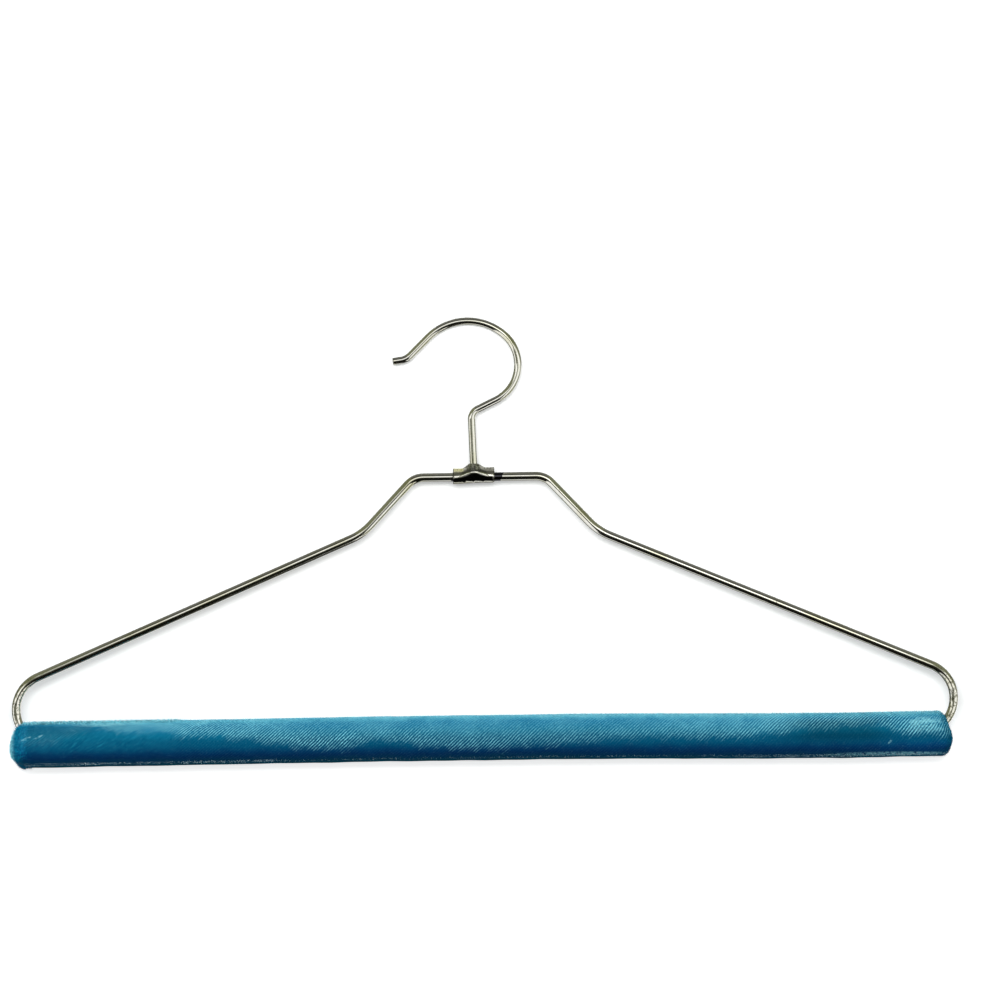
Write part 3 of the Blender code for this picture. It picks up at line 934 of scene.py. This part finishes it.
# %% Pucker the cloth round the wire
for side in (-1.0, 1.0):
    points = read_points(sleeve)
    entry = np.array([frame_x + side * (bar_half - 2.6 * MM), 0.0, bar_z + 6.2 * MM])
    away = np.linalg.norm(points - entry, axis=1)
    pull = np.exp(-((away / (2.6 * MM)) ** 2))
    lip = np.exp(-(((away - 3.0 * MM) / (1.1 * MM)) ** 2))
    inward = np.array([-side * 0.7, 0.0, -0.7])
    points += inward * (0.9 * MM * pull - 0.35 * MM * lip)[:, None]
    write_points(sleeve, points)
    print("wire goes in at x", round(entry[0] / MM, 1), "mm")

# %% Close the sleeve
CLOTH_WELD = 0.004 * MM
close_mesh(CLOTH_WELD)
bpy.ops.object.shade_smooth()
print("sleeve", triangles(sleeve), "triangles")

# %% Count the ribs in the UV map
cloth_map = sleeve.data.uv_layers[0]
cloth_map.name = "cloth"
flat_uv = np.empty(len(sleeve.data.loops) * 2)
cloth_map.data.foreach_get("uv", flat_uv)
flat_uv = flat_uv.reshape(-1, 2) * (columns / COLUMNS_A_RIB, 1.0)
cloth_map.data.foreach_set("uv", flat_uv.ravel())
print("ribs along the cloth:", round(columns / COLUMNS_A_RIB))

# %% [markdown]
# ## Velvet
#
# Velvet is dark where one looks down into the pile and pale where its tips catch light. Here the ground is
# painted for it: pale at the top and shaded darker down to the belly, and a sheen layer gives the pale rim.
# The UV map counts the ribs, so its fraction finds each rib's crest, which is drawn as a fine pale line, a
# painted highlight, in a darker ground with painted shade in each valley. Handling has laid the pile one way
# in some places and the other way in others, so the lines are strong in some stretches of the bar and
# nearly gone in others, and they die out towards the shaded belly.

# %% Find where each rib is and how strong
velvet = open_finish("ribbed_velvet")
place = object_place()
parts = axes(place)
cloth = add("UVMap", uv_map="cloth")[0]
along = scaled(parts["X"], 0.5 / bar_half, 0.5 - 0.5 * bar_x / bar_half)
lie = add("SeparateColor", {0: ramp(along, LIE_OF_PILE, "EASE")})

# Nought is the top of the bar and one the bottom.
low = scaled(parts["Z"], -0.5 / bar_r, 0.5 + 0.5 * bar_z / bar_r)
patchy = wander(0.36, place, 130.0, 5.0, 0.62)
uneven = wander(0.34, stretched(cloth, (1.0, 22.0, 1.0)), 0.85, 3.0, 0.6)
above = plus(minus(lie[0], low), patchy, uneven)
zone = step(above, -0.07, 0.16)
strong = step(above, 0.50, 0.10)

rib_phase = maths("FRACT", plus(axes(cloth)["X"], wander(0.5, place, 300.0, 2.0)))
crest = times(size_of(minus(rib_phase, 0.5)), 2.0)
# Each crest gets a painted highlight line, and each valley painted shade.
line = step(crest, 0.50, 0.88)
valley = step(crest, 0.52, 0.10)
broken = patches(0.34, 0.58, place, 900.0, 2.0, 0.6)
print("ribs found with", len(open_nodes), "nodes")

# %% Dye the velvet and paint its light and shade
# Painted light and shade: the ground's colour from the lit top of the bar down to the shaded bottom.
SHADED_DEPTHS = (
    (0.0, (0.140, 0.430, 0.540)),
    (0.045, (0.040, 0.260, 0.390)),
    (0.10, (0.004, 0.140, 0.275)),
    (0.30, (0.002, 0.120, 0.215)),
    (0.43, (0.0006, 0.075, 0.150)),
    (0.56, (0.0003, 0.063, 0.135)),
    (0.69, (0.0001, 0.029, 0.093)),
    (0.775, (0.0001, 0.017, 0.070)),
    (0.87, (0.0005, 0.022, 0.058)),
    (1.0, (0.004, 0.030, 0.045)),
)
lifted = minus(low, times(step(along, 0.55, 0.80), 0.05))
colour = ramp(plus(lifted, times(patchy, 0.45)), SHADED_DEPTHS)
cloudy = scaled(patches(0.36, 0.66, place, 75.0, 4.0, 0.6), 0.9, 0.45)
# Painted sheen: a pale layer over the top of the bar.
painted_top_sheen = times(step(low, 0.60, 0.02), lie[2], zone, cloudy)
strength = times(lie[1], scaled(strong, 0.75, 0.25))
ribs = scaled(times(zone, strength), 0.92, 0.02)
lit = times(line, ribs, scaled(broken, 0.62, 0.40), clamp=True)
strokes = patches(0.50, 0.63, stretched(cloth, (3.4, 22.0, 1.0)), 1.0, 2.0, 0.5)
plush = where((along, 0.22, 0.10), (low, 0.72, 0.50))
grain = noise(place, 1500.0, 3.0, 0.7)
pale_grain = times(step(grain, 0.52, 0.72), scaled(zone, 0.16, 0.04))
raised = where((low, 0.26, 0.04), (along, 0.40, 0.22), (along, 0.10, 0.20))
specks = patches(0.50, 0.60, place, 950.0, 3.0, 0.75)
colour = layered(colour, (
    (times(painted_top_sheen, 0.50), (0.125, 0.45, 0.56)),
    (times(valley, times(ribs, 0.8)), (0.0008, 0.045, 0.10)),
    (lit, (0.22, 0.65, 0.75)),
    (times(strokes, plush, 0.28), (0.02, 0.30, 0.45)),
    (pale_grain, (0.25, 0.70, 0.80)),
    (times(raised, specks, 0.34), (0.22, 0.68, 0.80)),
    (times(step(grain, 0.48, 0.30), 0.38), (0.0005, 0.035, 0.085)),
))
print("ground and ribs dyed in", len(SHADED_DEPTHS), "depths")

# %% Brush a few marks into the pile
# Place along the bar and up from its axis, then half sizes, in millimetres, slope and strength.
MARKS = (
    (186.5, 5.0, 8.0, 2.2, 0.05, 0.42),
    (187.0, 2.2, 9.0, 1.4, 0.0, 0.16),
    (171.5, -2.9, 1.1, 0.7, 0.9, 0.22),
    # This long band along the bottom edge of the right end is painted rim light.
    (170.0, -8.3, 28.0, 1.0, 0.0, 0.22),
    (-190.8, 3.2, 2.2, 0.45, 0.35, 0.60),
    (-185.4, 3.9, 1.8, 0.45, 0.45, 0.45),
    (-157.0, 9.2, 17.0, 1.6, 0.02, 0.45),
)
in_front = step(parts["Y"], 1.0 * MM, -2.0 * MM)
for mark_x, mark_z, half_x, half_z, slope, amount in MARKS:
    off_x = minus(parts["X"], bar_x + mark_x * MM)
    off_z = minus(parts["Z"], bar_z + mark_z * MM)
    off_z = minus(off_z, times(off_x, slope))
    far_x = maths("POWER", times(off_x, 1 / (half_x * MM)), 2.0)
    far_z = maths("POWER", times(off_z, 1 / (half_z * MM)), 2.0)
    inside = step(plus(far_x, far_z), 1.3, 0.2)
    colour = mix(times(inside, in_front, broken, amount), colour, (0.30, 0.72, 0.78))
print(len(MARKS), "marks brushed in")

# %% Shade the ends
# Painted shade darkens the left end low down, and painted light brightens the left dome and the lower right
# end.
shade = where((along, 0.16, 0.04), (low, 0.48, 0.20), (low, 0.03, 0.12))
dome = where((parts["X"], left_tip + 10.0 * MM, left_tip + 3.0 * MM), (low, 0.95, 0.60))
worn_spot = where((along, 0.79, 0.86), (along, 0.95, 0.90), (low, 0.08, 0.25), (low, 0.75, 0.5))
right_end = where((along, 0.88, 0.98), (low, 0.55, 0.72))
level = minus(plus(scaled(shade, -0.34, 1.0), dome), times(worn_spot, 0.38))
colour = brightened(colour, plus(level, times(right_end, 0.40)))
# Painted sheen: pale speckles along the rim of the left end.
painted_rim_sheen = step(parts["X"], left_tip + 4.2 * MM, left_tip + 1.7 * MM)
painted_rim_sheen = times(painted_rim_sheen, patches(0.36, 0.54, place, 650.0, 3.0, 0.7), 0.75)
colour = mix(painted_rim_sheen, colour, (0.24, 0.74, 0.84))
set_shader({
    "Base Color": colour,
    "Roughness": 0.95,
    "Specular IOR Level": 0.0,
    "Sheen Weight": 0.08,
    "Sheen Roughness": 0.35,
    "Sheen Tint": (0.03, 0.75, 1.0),
})
set_bump(noise(place, 2600.0, 2.0, 0.7), 0.4, 0.10 * MM)
dress(sleeve, velvet)
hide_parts("velvet_cover")
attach(sleeve, "frame")
sleeve.visible_glossy = False

# %% [markdown]
# ## Pile that stands up
#
# At the rounded ends and along the top the pile stands clear of the cloth and makes a pale, uneven edge.
# The pale of the tips there is painted light. A single pointed fibre is modelled, and numpy sets thousands
# of copies of it into one mesh, each turned along its own direction. The seam is fringed in the same way,
# with longer and paler ends of thread.


# %% Helper that plants fibres
def plant_fibres(name, roots, ways, lengths, widths):
    start_piece()
    bpy.ops.mesh.primitive_cone_add(
        vertices=3, radius1=1.0, radius2=0.0, depth=1.0, end_fill_type="NOTHING", location=(0, 0, 0.5)
    )
    fibre = settle(name)
    close_mesh(0.001 * MM, 3)
    one = read_points(fibre)
    faces = [np.array(face.vertices) for face in fibre.data.polygons]
    ways = ways / np.linalg.norm(ways, axis=1)[:, None]
    helper = np.where(np.abs(ways[:, 1:2]) < 0.9, [[0.0, 1.0, 0.0]], [[1.0, 0.0, 0.0]])
    across = np.cross(ways, helper)
    across /= np.linalg.norm(across, axis=1)[:, None]
    over = np.cross(ways, across)
    points = roots[:, None, :] + sum(
        way[:, None, :] * (one[:, axis] * sizes[:, None])[:, :, None]
        for axis, (way, sizes) in enumerate(((across, widths), (over, widths), (ways, lengths)))
    )
    planted = bpy.data.meshes.new(name)
    offsets = np.arange(len(roots)) * len(one)
    all_faces = [tuple(int(k) for k in face + step) for step in offsets for face in faces]
    planted.from_pydata(points.reshape(-1, 3).tolist(), [], all_faces)
    fibre.data = planted
    planted.name = name
    print(name, len(roots), "fibres,", triangles(fibre), "triangles")
    return fibre


def sleeve_place(u, turn, lift):
    x, r = along_bar(u)
    normal_x, normal_r = cloth_normal(u)
    front, down = -np.sin(turn), -np.cos(turn)
    normal = np.stack([normal_x, normal_r * front, normal_r * down], axis=1)
    place = np.stack([bar_x + x, r * front, bar_z + r * down + bar_bow(x)], axis=1) + normal * lift
    place[:, 0] += end_lean(x, r * down / bar_r)
    return place, normal


# %% [markdown]
# Each group of fibres has a count, a stretch of the cloth, a stretch of the turn round the bar in degrees,
# a mean length, how much the directions differ, a width, and a lean. Lengths along the cloth are from the
# two points where the domes begin. The roots are sunk into the cloth, and a stretch's limits are blurred.

# %% Plant the pile
rng = np.random.default_rng(7)
ROOT_DEPTH = 0.45 * MM
BLUR = 2.0 * MM
first, last = profile_u[0] + 5.6 * MM, profile_u[-1] - 5.6 * MM


def scatter(count, u_low, u_high, turn_low, turn_high, mean, spread, width, lean):
    u = rng.uniform(u_low, u_high, count)
    u += rng.normal(0.0, 1.0, count) * BLUR * ((u < u_low + BLUR) | (u > u_high - BLUR))
    u = np.clip(u, first - 2.5 * MM, last)
    turn = np.radians(rng.uniform(turn_low, turn_high, count))
    roots, normal = sleeve_place(u, turn, -ROOT_DEPTH)
    ways = normal + rng.normal(0.0, spread, (count, 3)) + np.array(lean)
    lengths = (mean * MM + ROOT_DEPTH) * rng.uniform(0.7, 1.35, count)
    return roots, ways, lengths, np.full(count, width * MM)


def plant_groups(name, groups):
    planted = [scatter(*group) for group in groups]
    return plant_fibres(name, *(np.concatenate(part) for part in zip(*planted)))


pile_edge = plant_groups("standing_pile", (
    (6500, first, first + 10 * MM, 0, 360, 0.40, 0.35, 0.045, (-0.3, 0.0, -0.1)),
    (3000, first - 3 * MM, first + 8 * MM, 0, 360, 0.95, 0.45, 0.115, (-0.5, 0.0, -0.1)),
    (4200, first + 9 * MM, first + 75 * MM, 160, 215, 0.60, 0.35, 0.085, (0.0, 0.0, 0.1)),
    (9000, first + 9 * MM, last - 9 * MM, 165, 205, 0.14, 0.35, 0.045, (0.1, 0.0, 0.0)),
    (3000, 30 * MM, last - 6 * MM, 160, 210, 0.22, 0.35, 0.080, (0.1, 0.0, 0.0)),
    (4600, last - 9 * MM, last, 0, 360, 0.30, 0.35, 0.03, (0.2, 0.0, 0.0)),
))

# %% Fringe the seam
seam_fringe = plant_groups("seam_fringe", (
    (700, first + 6 * MM, first + 38 * MM, 30, 42, 0.5, 0.3, 0.04, (0.9, -0.3, 0.1)),
    (1300, first + 32 * MM, first + 115 * MM, 33, 40, 0.6, 0.3, 0.05, (0.9, -0.2, 0.3)),
    (1300, first + 110 * MM, last - 75 * MM, 33, 39, 0.35, 0.35, 0.035, (0.6, -0.2, 0.1)),
    (1800, last - 95 * MM, last - 8 * MM, 27, 40, 0.45, 0.25, 0.04, (0.1, -0.3, 0.4)),
))


# %% Finish of the fibres
def fibre_finish(name, dark, light, sheen, tips=None):
    finish = open_finish(name)
    place = object_place()
    patchy = patches(0.42, 0.58, place, 1100.0, 2.0)
    colour = mix(patchy, dark, light)
    if tips:
        parts = axes(place)
        # Painted shade: fibres on the lower half of the bar are darker.
        shaded_below = step(parts["Z"], bar_z - 0.35 * bar_r, bar_z - 0.75 * bar_r)
        colour = mix(times(shaded_below, 0.7), colour, (0.0003, 0.025, 0.065))
        # Painted light: fibres near the left dome are brightened.
        dome = step(parts["X"], left_tip + 15.0 * MM, left_tip + 4.0 * MM)
        colour = brightened(colour, scaled(dome, 0.75, 1.0))
        # Painted light: the tips along the top and at the left end are pale.
        upper = step(parts["Z"], bar_z + 0.82 * bar_r, bar_z + 0.93 * bar_r)
        outer = step(parts["X"], left_tip + 3.6 * MM, left_tip + 1.4 * MM)
        rim = maths("MAXIMUM", upper, outer)
        colour = mix(times(rim, scaled(patchy, 0.7, 0.3)), colour, tips)
    set_shader({
        "Base Color": colour,
        "Specular IOR Level": 0.0,
        "Roughness": 0.8,
        "Sheen Weight": sheen,
        "Sheen Tint": (0.6, 0.9, 0.95),
    })
    return finish


PALE_TIPS = (0.34, 0.86, 0.93)
pile_tips = fibre_finish("pile_tips", (0.0006, 0.085, 0.165), (0.003, 0.20, 0.31), 0.02, PALE_TIPS)
seam_ends = fibre_finish("seam_ends", (0.05, 0.17, 0.27), (0.62, 0.82, 0.88), 0.1)
for piece, finish in ((pile_edge, pile_tips), (seam_fringe, seam_ends)):
    dress(piece, finish)
    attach(piece, "frame")

# %% [markdown]
# ## Wadding
#
# Under the velvet the bar is wrapped in a sheet of cotton wadding. It is soft and lumpy and shows only if
# the velvet is taken off, but it is what gives the bar its rounded feel. A grid is rolled into a tube as
# the sheet was, pushed about by soft noise, and closed at its ends round the plugs.

# %% Roll the wadding
WADDING_EYE = 2.4
SHOULDER = 3.9
pad_low, pad_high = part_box("padding")
tube_low, tube_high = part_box("core_tube")
pad_x = (pad_low.x + pad_high.x) / 2
pad_half = (pad_high.x - pad_low.x) / 2
pad_r = (pad_high.z - pad_low.z) / 2
card_r = (tube_high.z - tube_low.z) / 2
turns = np.linspace(0, math.pi / 2, 9)
outer_x = np.concatenate([[-0.6, -0.1, 0.0], -SHOULDER + SHOULDER * np.cos(turns)]) * MM
shoulder_r = WADDING_EYE + (pad_r / MM - WADDING_EYE) * np.sin(turns)
outer_r = np.concatenate([[0.0, 0.5, WADDING_EYE], shoulder_r]) * MM
roll_x = np.concatenate([-pad_half - outer_x, (pad_half + outer_x)[::-1]])
roll_r = np.concatenate([outer_r, outer_r[::-1]])
roll_u = lengths_along(roll_x, roll_r)
wadding, flat = flat_sheet("rolled_wadding", 420, 36)
u = (flat[:, 0] + 1) / 2 * roll_u[-1]
turn = (flat[:, 1] + 1) * math.pi
x, r = np.interp(u, roll_u, roll_x), np.interp(u, roll_u, roll_r)
turn_wrapped = np.where(flat[:, 1] > 0.999, 0.0, turn)
lumps = 0.22 * MM * soft_noise(x / (6 * MM), np.cos(turn_wrapped) * 2.4, 11) - 0.24 * MM
r = np.maximum(r + lumps * np.clip(r / (5 * MM), 0.0, 1.0), 0.0)
r = np.where(np.abs(x) < pad_half - 5 * MM, np.maximum(r, card_r + 0.45 * MM), r)
inset = np.interp(x / pad_half, [-1.0, -0.95, 0.95, 1.0], [LEFT_PILE, 0.0, 0.0, -RIGHT_PILE])
x = x + inset + end_lean(x + pad_x - bar_x, -r * np.cos(turn) / bar_r)
write_points(wadding, np.stack([pad_x + x, -r * np.sin(turn), bar_z - r * np.cos(turn)], axis=1))
close_mesh(CLOTH_WELD)
bpy.ops.object.shade_smooth()

cotton = open_finish("cotton_wadding")
fluff = noise(object_place(), 500.0, 5.0, 0.65)
colour = mix(fluff, (0.62, 0.58, 0.49), (0.86, 0.84, 0.78))
set_shader({"Base Color": colour, "Roughness": 0.95, "Sheen Weight": 0.4})
set_bump(fluff, 0.6, 0.3 * MM)
dress(wadding, cotton)
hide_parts("padding")
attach(wadding, "frame")
print("wadding", triangles(wadding), "triangles")

# %% [markdown]
# ## Closing threads
#
# The gathered ends are drawn shut by a running stitch of two-ply thread, pulled tight and knotted. A torus
# is a plain ring of thread, so its section is given two lobes that turn as they go round, and the ring is
# waved in and out of the cloth. A small knot finishes it.

# %% Stitch one closing thread
WAVE = 0.10 * MM
KNOT_R = 0.36 * MM


def closing_thread(name, side):
    low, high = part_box(name)
    thread_x = (low.x + high.x) / 2 + (LEFT_PILE if side < 0 else -RIGHT_PILE)
    thread_r = (high.x - low.x) / 2
    ring_r = (high.z - low.z) / 2 - thread_r
    start_piece()
    bpy.ops.mesh.primitive_torus_add(
        major_segments=120,
        minor_segments=12,
        major_radius=ring_r,
        minor_radius=thread_r,
        rotation=(0.0, math.pi / 2, 0.0),
    )
    thread = settle(name + "_stitch")
    points = read_points(thread)
    round_ring = np.arctan2(points[:, 2], points[:, 1])
    away = np.hypot(points[:, 1], points[:, 2]) - ring_r
    lobe = np.arctan2(away, points[:, 0])
    scale = 0.62 + 0.30 * np.abs(np.cos(lobe - 15 * round_ring))
    reach = ring_r + WAVE * np.sin(7 * round_ring) + away * scale
    lean = end_lean(np.full(len(points), side * bar_half), reach * np.sin(round_ring) / bar_r)
    points[:, 0] = thread_x + side * WAVE * np.cos(9 * round_ring) + points[:, 0] * scale + lean
    points[:, 1] = reach * np.cos(round_ring)
    points[:, 2] = bar_z + reach * np.sin(round_ring)
    write_points(thread, points)

    start_piece()
    knot_place = (points[:, 0].mean(), 0.0, bar_z - ring_r)
    bpy.ops.mesh.primitive_ico_sphere_add(subdivisions=3, radius=KNOT_R, location=knot_place)
    knot = settle(name + "_knot")
    points = read_points(knot)
    middle = points.mean(axis=0)
    arm = points - middle
    twist = np.arctan2(arm[:, 2], arm[:, 1])
    write_points(knot, middle + arm * (0.9 + 0.16 * np.cos(3 * twist + arm[:, 0] / (0.12 * MM)))[:, None])
    start_piece()
    knot.select_set(True)
    thread.select_set(True)
    bpy.context.view_layer.objects.active = thread
    bpy.ops.object.join()
    bpy.ops.object.shade_smooth()
    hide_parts(name)
    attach(thread, "frame")
    return thread


# %% Sew both ends shut
sewing = open_finish("sewing_thread")
fuzz = noise(object_place(), 3000.0, 3.0)
set_shader({"Base Color": mix(fuzz, (0.004, 0.035, 0.07), (0.02, 0.12, 0.19)), "Roughness": 0.7})
for name, side in (("closing_thread_left", -1.0), ("closing_thread_right", 1.0)):
    thread = closing_thread(name, side)
    dress(thread, sewing)
    print(thread.name, triangles(thread), "triangles")

# %% [markdown]
# ## Core of the bar
#
# Two kinds of piece inside the bar keep their solids, as their shapes are right: a tube of wound card, and
# a turned wooden plug at each end that grips the wire. They get finishes only: a spiral seam and paper
# fibre on the card, and growth rings and fine grain on the wood.

# %% Card and wood
card = open_finish("wound_card")
place = object_place()
wound = add("Mapping", {"Vector": place, "Rotation": (0.0, math.radians(35.0), 0.0)})[0]
strips = add("TexWave", {"Vector": wound, "Scale": 9.0, "Distortion": 0.3}, wave_profile="SAW")["Fac"]
paper = noise(place, 900.0, 4.0)
kraft = mix(paper, (0.33, 0.22, 0.13), (0.48, 0.35, 0.22))
colour = mix(step(strips, 0.93, 1.0), kraft, (0.20, 0.12, 0.07))
set_shader({"Base Color": colour, "Roughness": 0.85})
set_bump(paper, 0.3, 0.1 * MM)

wood = open_finish("plug_wood")
place = stretched(object_place(), (0.12, 1.0, 1.0))
rings = add("TexWave", {"Vector": place, "Scale": 260.0, "Distortion": 5.0, "Detail": 3.0})["Fac"]
fine = noise(place, 2400.0, 4.0)
tone = scaled(fine, 0.4, times(rings, 0.6))
set_shader({"Base Color": mix(tone, (0.36, 0.22, 0.11), (0.66, 0.48, 0.30)), "Roughness": 0.6})
set_bump(fine, 0.25, 0.08 * MM)

for node, finish in (("core_tube", card), ("end_plug_left", wood), ("end_plug_right", wood)):
    dress(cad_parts[node], finish)
